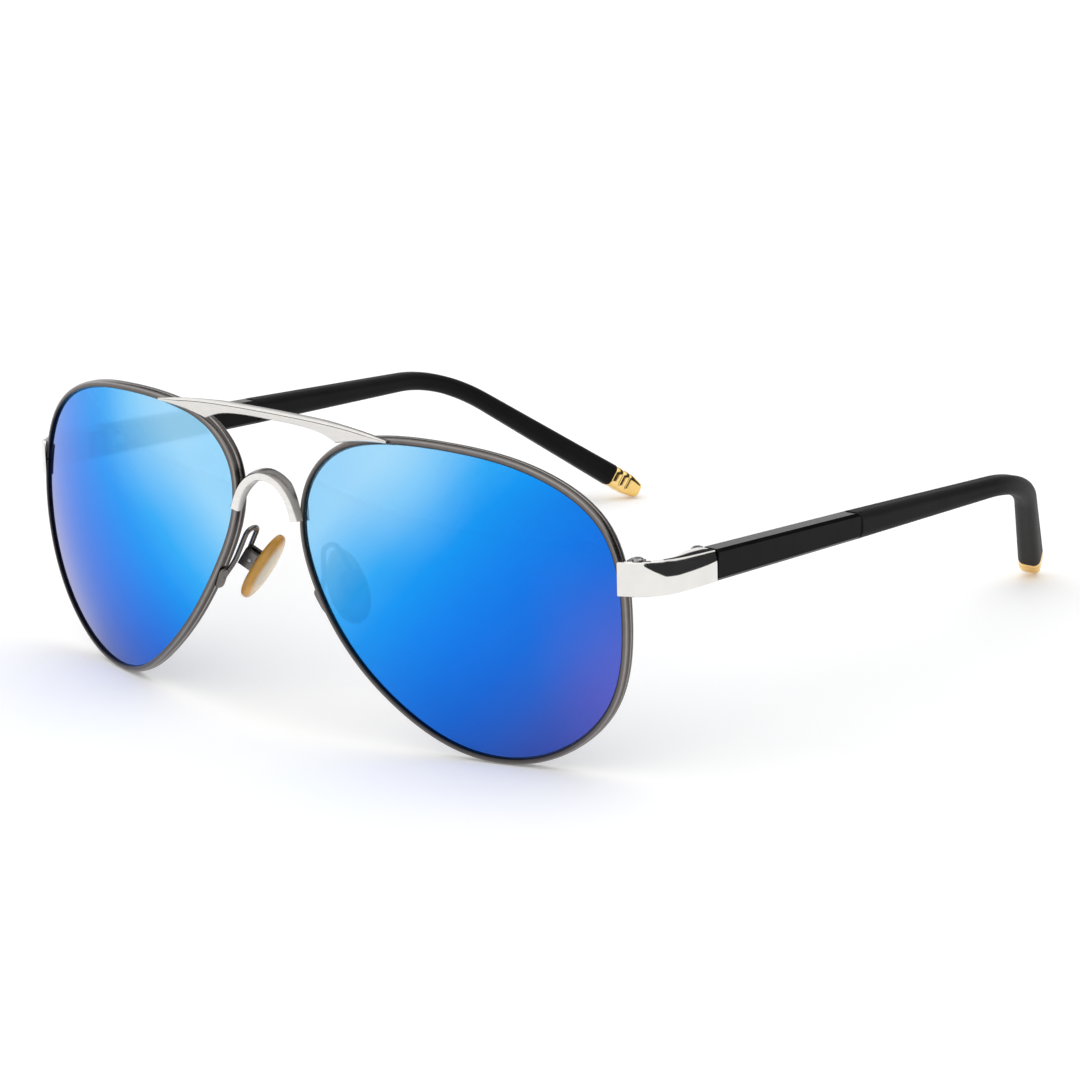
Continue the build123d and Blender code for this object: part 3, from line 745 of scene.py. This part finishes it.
# %% Front bar, sleeve and cap
def arm_grid():
    """Rectangle with chamfered corners, 3.6 wide and 5.35 high, tapering to 4.5 at the sleeve."""
    distance = np.array([0.05, 0.13, 0.3, 0.55, 0.8, 1.0, 1.2, 1.6, 6, 14, 22, 30, 36, 39.8])
    high = np.interp(distance, [0, ARM_LENGTH], [5.35, 4.5])
    end = np.interp(distance, [0.05, 0.13], [0.1, 0])
    section = rounded_box(1.8 - end, high / 2 - end, 0.5 - end, steps=2, guard=0.06)
    grid = temple_rows(distance, section)
    inner = grid[..., 0] < 71.6
    grid[..., 0] = np.where(inner, recess(grid[..., 1], grid[..., 0]), grid[..., 0])
    return grid


def sleeve_grid():
    """Rounded section that narrows to the bend and widens again; its mouth bows back at mid height.

    Half width and half height are straight lines between four stations along the temple.
    """
    mouth = ARM_LENGTH + np.array([0, 0.04, 0.14, 0.3, 0.6, 1.2, 2.2, 3.6, 5.5])
    run = np.linspace(ARM_LENGTH + 8, straight, 12)
    bend = straight + arc * np.linspace(0, 1, 22)[1:]
    tip = np.linspace(straight + arc + 1.5, sleeve_end - 0.5, 10)
    close = sleeve_end + np.array([-0.3, -0.12, -0.03, 0])
    distance = np.concatenate([mouth, run, bend, tip, close])
    stations = [ARM_LENGTH, straight, straight + arc, sleeve_end]
    half_wide = np.interp(distance, stations, [2.0, 1.95, 1.95, 2.15])
    half_high = np.interp(distance, stations, [2.4, 1.75, 1.75, 2.2])
    nip = np.interp(distance, mouth[:4], [0.22, 0.12, 0.03, 0])
    nip = nip + np.interp(distance, close, [0, 0.03, 0.12, 0.22])
    section = rounded_box(half_wide - nip, half_high - nip, 1.3 - nip, steps=8, guard=0.1)
    bow = 1 - (section[..., 1] / half_high[:, None]) ** 2
    fade = np.interp(distance, [mouth[0], mouth[-1]], [1.2, 0])[:, None]
    return temple_rows(distance, section, bow * fade)


def cap_grid():
    """Three polished bands parted by two grooves, tapering to a rounded end."""
    groove = lambda at: np.array([at - 0.08, at, at + 0.05, at + 0.25, at + 0.3, at + 0.38])
    along = np.concatenate([
        [0, 0.03, 0.12, 0.3, 0.9], groove(1.6), [2.4], groove(3.1), [3.9, 4.6, 5.4, 6.0, 6.3],
        6.3 + 0.7 * np.sin(np.radians([22, 40, 56, 70, 80, 87, 90])),
    ])
    depth = np.interp(along, [0, 0.03, 0.12, 0.3], [0.24, 0.13, 0.03, 0])
    for at in (1.6, 3.1):
        depth = depth + np.interp(along, groove(at), [0, 0.02, 0.06, 0.06, 0.02, 0])
    taper = np.clip((along - 3.4) / 3.6, 0, 1) ** 1.5
    puff = 0.05 * np.abs(np.sin(np.pi * np.clip(along, 0, 3.4) / 1.6)) * (along < 3.3)
    half_wide = 2.12 - 0.5 * taper - depth + puff - 0.05
    half_high = 2.17 - 0.77 * taper - depth + puff - 0.05
    end = np.clip((along - 6.3) / 0.7, 0, 1)
    round_off = 1 - 0.55 * (1 - np.sqrt(1 - end**2 * 0.98))
    corner = np.interp(along, [0, 3.9, 7], [1.3, 0.95, 0.8]) * round_off
    section = rounded_box(half_wide * round_off, half_high * round_off, corner - depth, steps=6, guard=0.1)
    return temple_rows(sleeve_end + along, section)


for side in SIDES:
    body = f"temple_{side}"
    made = skin(f"black_bar_{side}", [to_frame(arm_grid(), side)], sharp=25)
    piece(f"black_bar_{side}", made, body, "gloss_black_metal", [f"temple_arm_{side}"])
    made = skin(f"rubber_sleeve_{side}", [to_frame(sleeve_grid(), side)], sharp=60)
    piece(f"rubber_sleeve_{side}", made, body, "matt_black_rubber", [f"temple_sleeve_{side}"])
    made = skin(f"banded_cap_{side}", [to_frame(cap_grid(), side)], sharp=40)
    piece(f"banded_cap_{side}", made, body, "gold_cap", [f"tip_cap_{side}"])

# %% [markdown]
# ## Nose pads and their wires
# A pad is a soft clear shell over a small metal plate. Its outline is a leaning oval, thicker in
# the middle than at the rim. Rings from the middle of the face round to the middle of the back
# give an even skin with no seam. The wire that holds it is drawn through a few corners, and each
# corner is rounded by a quadratic curve, as pliers would bend it.

# %% Pad and wire surfaces
PAD_CENTRE = np.array([10.2, 7.9, 24.3])
PAD_UP, PAD_FACING = unit(np.array([-0.507, 0.189, 0.838])), unit(np.array([-0.762, 0.353, -0.540]))
PAD_AXES = np.array([np.cross(PAD_UP, PAD_FACING), PAD_UP, PAD_FACING])
PAD_SPLAY = math.radians(8)
PAD_HALF_LONG, PAD_HALF_WIDE, PAD_HALF_THICK = 6.75, 3.62, 1.05


def pad_grid(rings=27, count=72):
    """Ring at a, from 90 to -90 degrees: radius share cos(a)^0.42, height sign(a) |sin(a)|^0.62."""
    a = np.radians(np.linspace(88.5, -88.5, rings))[:, None]
    round_by = np.linspace(0, 2 * np.pi, count, endpoint=False)[None]
    share = np.cos(a) ** 0.42
    lean = 1 - 0.1 * np.sin(round_by)
    x = PAD_HALF_WIDE * share * np.cos(round_by) * lean
    y = PAD_HALF_LONG * share * np.sin(round_by)
    z = PAD_HALF_THICK * np.sign(a) * np.abs(np.sin(a)) ** 0.62 + 0 * round_by
    rim = np.repeat(share, count, axis=1)
    cosine, sine = math.cos(PAD_SPLAY), math.sin(PAD_SPLAY)
    x, z = x * cosine + z * sine, z * cosine - x * sine
    return PAD_CENTRE + np.stack([x, y, z], -1) @ PAD_AXES, rim


def rounded_path(points, cut, steps=8):
    """Straight runs with each corner replaced by the quadratic curve (1-t)^2 A + 2t(1-t) B + t^2 C."""
    points = np.asarray(points, float)
    ways = np.diff(points, axis=0)
    ways = ways / np.linalg.norm(ways, axis=1)[:, None]
    corner = points[1:-1, None]
    start = corner - ways[:-1, None] * np.asarray(cut, float)[:, None, None]
    stop = corner + ways[1:, None] * np.asarray(cut, float)[:, None, None]
    t = np.linspace(0, 1, steps)[None, :, None]
    bends = (1 - t) ** 2 * start + 2 * t * (1 - t) * corner + t**2 * stop
    return np.concatenate([points[:1], bends.reshape(-1, 3), points[-1:]])


def wire_grid(path, radius, count=14):
    """Circles across a path, each held to one fixed direction so that they don't twist."""
    along = np.gradient(path, axis=0)
    along = along / np.linalg.norm(along, axis=1)[:, None]
    steady = unit(np.array([0.2, -1.0, 0.35]))
    first = np.cross(along, steady)
    first = first / np.linalg.norm(first, axis=1)[:, None]
    second = np.cross(along, first)
    a = np.linspace(0, 2 * np.pi, count, endpoint=False)
    ring = first[:, None] * np.cos(a)[None, :, None] + second[:, None] * np.sin(a)[None, :, None]
    return path[:, None] + ring * np.broadcast_to(radius, len(path))[:, None, None]


def foot_grid():
    """Flattened end of the wire, 4.6 long, soldered beside the rim and thinned at both ends."""
    t = np.linspace(-1, 1, 17)
    full = np.clip((1 - np.abs(t) ** 5), 0.05, 1) ** 0.5
    section = rounded_box(0.4 * full, 0.85 * full, 0.3 * full, steps=4, guard=0.1)
    turn = math.radians(-58.4)
    along = np.array([math.cos(turn), math.sin(turn), 0])
    aside = np.array([-math.sin(turn), math.cos(turn), 0])
    local = np.array([-26.75, -3.2, -4.9]) + t[:, None, None] * 2.3 * along
    local = local + section[..., :1] * aside + section[..., 1:] * np.array([0, 0, 1.0])
    return LENS_CENTRE + local @ LENS_AXES


box_end = PAD_CENTRE + np.array([0, 1.3, -3.675]) @ PAD_AXES
wire_route = [(11.7, -0.4, 23.8), (10.8, 1.8, 26.6), (9.2, 3.5, 31.9), (9.4, 6.3, 31.9), box_end]
wire = rounded_path(wire_route, [1.1, 1.3, 1.3])
for side in SIDES:
    pad, edge = pad_grid()
    made = skin(f"clear_pad_{side}", [to_frame(pad, side)], {"edge": [edge]}, sharp=80)
    piece(f"clear_pad_{side}", made, f"nose_pad_{side}", "amber_pad", [f"nose_pad_{side}"])
    made = skin(
        f"pad_wire_{side}", [to_frame(wire_grid(wire, 0.45), side), to_frame(foot_grid(), side)], sharp=60
    )
    piece(f"pad_wire_{side}", made, "front", "gunmetal", [f"pad_arm_{side}"])

# %% [markdown]
# ## Screws
# Three kinds of screw show: at the hinge, in the closing block and through the pad box. Each has
# a shank and a slightly domed head with a slot. A head is made of slices across the slot, so the
# slot is simply the slices whose top is lower.

# %% Screw surface
def screw_grids(shank_radius, head_radius, low, seat, head_high):
    """Shank and slotted head about the local z axis.

    A slice at x is 2*sqrt(r^2 - x^2) wide. With f = (x^2 + y^2) / r^2, its top is the dome
    seat + head_high * (1 - f/4 - f^6/4), or the slot's floor where |x| is under 0.16 r.
    """
    slot = 0.16 * head_radius
    curve = head_radius * np.sin(np.radians([16, 26, 38, 50, 62, 73, 82, 88]))
    half = np.concatenate([[0.0, slot - 0.01, slot + 0.01], curve])
    x = np.concatenate([-half[:0:-1], half])
    wide = np.sqrt(head_radius**2 - x**2)
    t = np.linspace(1, -1, 13)
    y = wide[:, None] * t
    far = (x[:, None] ** 2 + y**2) / head_radius**2
    top = seat + head_high * (1 - 0.25 * far - 0.25 * far**6)
    top = np.where(np.abs(x)[:, None] < slot, seat + 0.45 * head_high, top)
    xs = np.repeat(x[:, None], 13, axis=1)
    upper = np.stack([xs, y, top], -1)
    lower = np.stack([xs[:, :2], wide[:, None] * np.array([-1, 1]), np.full((len(x), 2), seat)], -1)
    a = np.linspace(0, 2 * np.pi, 24, endpoint=False)
    radius = np.array([0.8, 1, 1, 1]) * shank_radius
    z = np.array([low, low + 0.12, seat - 0.1, seat])
    shank = np.stack([radius[:, None] * np.cos(a), radius[:, None] * np.sin(a), z[:, None] + 0 * a], -1)
    return np.concatenate([upper, lower], axis=1), shank


lock_middle = LENS_CENTRE + np.array([32.2, 7.6, -7.4]) @ LENS_AXES
lock_axes = LENS_AXES[[2, 0, 1]]
pad_screw_middle = PAD_CENTRE + np.array([0, 0, -2.4]) @ PAD_AXES
pad_screw_axes = -PAD_AXES[[1, 2, 0]] * [[1], [-1], [1]]
SCREWS = {
    "hinge_pin": ("hinge_screw", "front", np.array([*HINGE, 0]), np.eye(3), (0.5, 0.95, 31.5, 35.9, 0.4)),
    "block_screw": ("rim_lock_screw", "front", lock_middle, lock_axes, (0.55, 0.95, -2.5, 2.5, 0.45)),
    "pad_pin": ("pad_screw", "front", pad_screw_middle, pad_screw_axes, (0.4, 0.7, -1.4, 1.4, 0.35)),
}
for name, (node, body, middle, axes, sizes) in SCREWS.items():
    for side in SIDES:
        grids = [to_frame(middle + part @ axes, side) for part in screw_grids(*sizes)]
        made = skin(f"{name}_{side}", grids, sharp=35)
        piece(f"{name}_{side}", made, body, "small_steel", [f"{node}_{side}"])

# %% [markdown]
# ## The parts that keep their own shape
# The hinge knuckles, closing blocks, pad boxes, inserts and inner wires already have the right
# shape in the model, so each only gets a finish.

# %% Finishes on the model's own parts
KEPT = {
    "gunmetal": ["rim_lock_upper", "rim_lock_lower", "pad_box"],
    "small_steel": ["hinge_front_knuckles", "hinge_temple_knuckle", "temple_core_wire", "pad_insert"],
}
for slot, names in KEPT.items():
    for node in [f"{name}_{side}" for name in names for side in SIDES]:
        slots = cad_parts[node].material_slots
        for one in slots:
            one.link = "OBJECT"
            one.material = FINISHES[slot]
print("kept parts:", sum(len(names) for names in KEPT.values()) * 2)

# %% [markdown]
# ## Table, light and camera
# The table is one wide pale sheet. Polished metal shows whatever stands round it, so the room is
# bright, with a dark band behind and a dark patch low on the wearer's left. Those draw the dark
# lines that make metal look like metal. The camera's own view of the room is plain white.

# %% Table and room
def area_light(name, place, target, size, power):
    """A square soft light at a place, turned towards a target, in metres and watts."""
    light = bpy.data.lights.new(name, "AREA")
    light.shape, light.size, light.energy = "SQUARE", size, power
    made = bpy.data.objects.new(name, light)
    bpy.context.scene.collection.objects.link(made)
    made.location = place
    made.rotation_euler = (Vector(target) - Vector(place)).to_track_quat("-Z", "Y").to_euler()
    return made


table = bpy.data.meshes.new("table")
corners = [(-3, -3, 0), (3, -3, 0), (3, 3, 0), (-3, 3, 0)]
table.from_pydata(corners, [], [(0, 1, 2, 3)])
table_top = bpy.data.objects.new("table", table)
bpy.context.scene.collection.objects.link(table_top)
shader, place = finish(
    "table_white", Roughness=0.85, Specular_IOR_Level=0.1, Emission_Color=(1, 1, 1, 1), Emission_Strength=0.15
)
paper = place.noise(40.0, 4.0).ramp(0.2, 0.8).mix((0.94, 0.94, 0.945), (0.955, 0.955, 0.955))
connect(shader, Base_Color=paper)
table.materials.append(FINISHES["table_white"])

room = bpy.data.worlds.new("studio")
bpy.context.scene.world = room
room.use_nodes = True
tree = room.node_tree
direction = Signal(tree, tree.nodes.new("ShaderNodeTexCoord").outputs["Generated"])
across, deep, up = direction.split()
dark_side = (across * 0.966 + deep * 0.259).ramp(0.62, 0.7) * up.ramp(0.55, 0.42)
dark_band = deep.ramp(0.3, 0.5) * up.ramp(0.3, 0.36) * up.ramp(0.62, 0.55)
bright = 1.0 - dark_side.math("MAXIMUM", dark_side, dark_band)
lit = Signal(tree, tree.nodes.new("ShaderNodeLightPath").outputs["Is Camera Ray"])
colour = bright.mix((0.03, 0.03, 0.032), (0.95, 0.95, 0.95))
tree.links.new(lit.mix(colour, (1.0, 1.0, 1.0)).socket, tree.nodes["Background"].inputs["Color"])
tree.nodes["Background"].inputs["Strength"].default_value = 1.14
area_light("overhead", (0.3, 0.2, 1.6), (0, 0, 0), 1.2, 1.5)

# %% [markdown]
# ## The camera
# A long lens stands well back and to the wearer's left, and looks down a little. Its two cross
# directions are given, and the third is square to both.

# %% Camera
camera = bpy.data.objects.new("camera", bpy.data.cameras.new("camera"))
bpy.context.scene.collection.objects.link(camera)
camera.data.sensor_width, camera.data.lens = 36.0, 140.34
right, upward = Vector((0.752393, 0.658265, -0.024330)), Vector((-0.154170, 0.211884, 0.965058))
turn = Matrix((right, upward, right.cross(upward))).transposed().to_4x4()
camera.matrix_world = Matrix.Translation((0.48838, -0.55904, 0.21631)) @ turn
camera.data.clip_start, camera.data.clip_end = 0.01, 50
bpy.context.scene.camera = camera
bpy.context.scene.view_settings.view_transform = "Standard"
print("camera at", [round(v, 3) for v in camera.matrix_world.translation])
